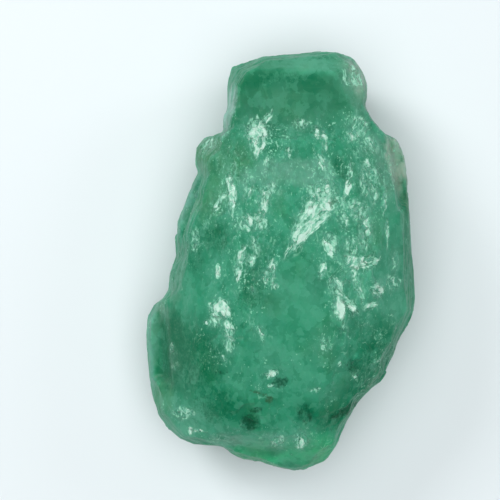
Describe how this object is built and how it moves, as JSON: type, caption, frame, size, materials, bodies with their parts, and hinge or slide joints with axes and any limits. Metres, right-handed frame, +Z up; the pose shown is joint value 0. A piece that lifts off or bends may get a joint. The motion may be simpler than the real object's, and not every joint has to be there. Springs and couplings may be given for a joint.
{
  "type": "raw emerald crystal",
  "caption": "Rough broken prism of green beryl lying on a flat cleaved back, for display, set dressing or a mineral tray.",
  "frame": {"origin": "on the flat cleaved back, below the centre of the crystal's bounding box", "axes": "+X across the crystal, +Y along its growth axis towards the smooth block at the top end, +Z up through its thickness"},
  "size_m": [0.0128, 0.02, 0.0084],
  "materials": {
    "emerald": "milky see-through green beryl with a rough broken surface, glossy flakes and dark inclusions"
  },
  "bodies": {
    "root": {"emerald_crystal": "emerald"}
  },
  "joints": []
}
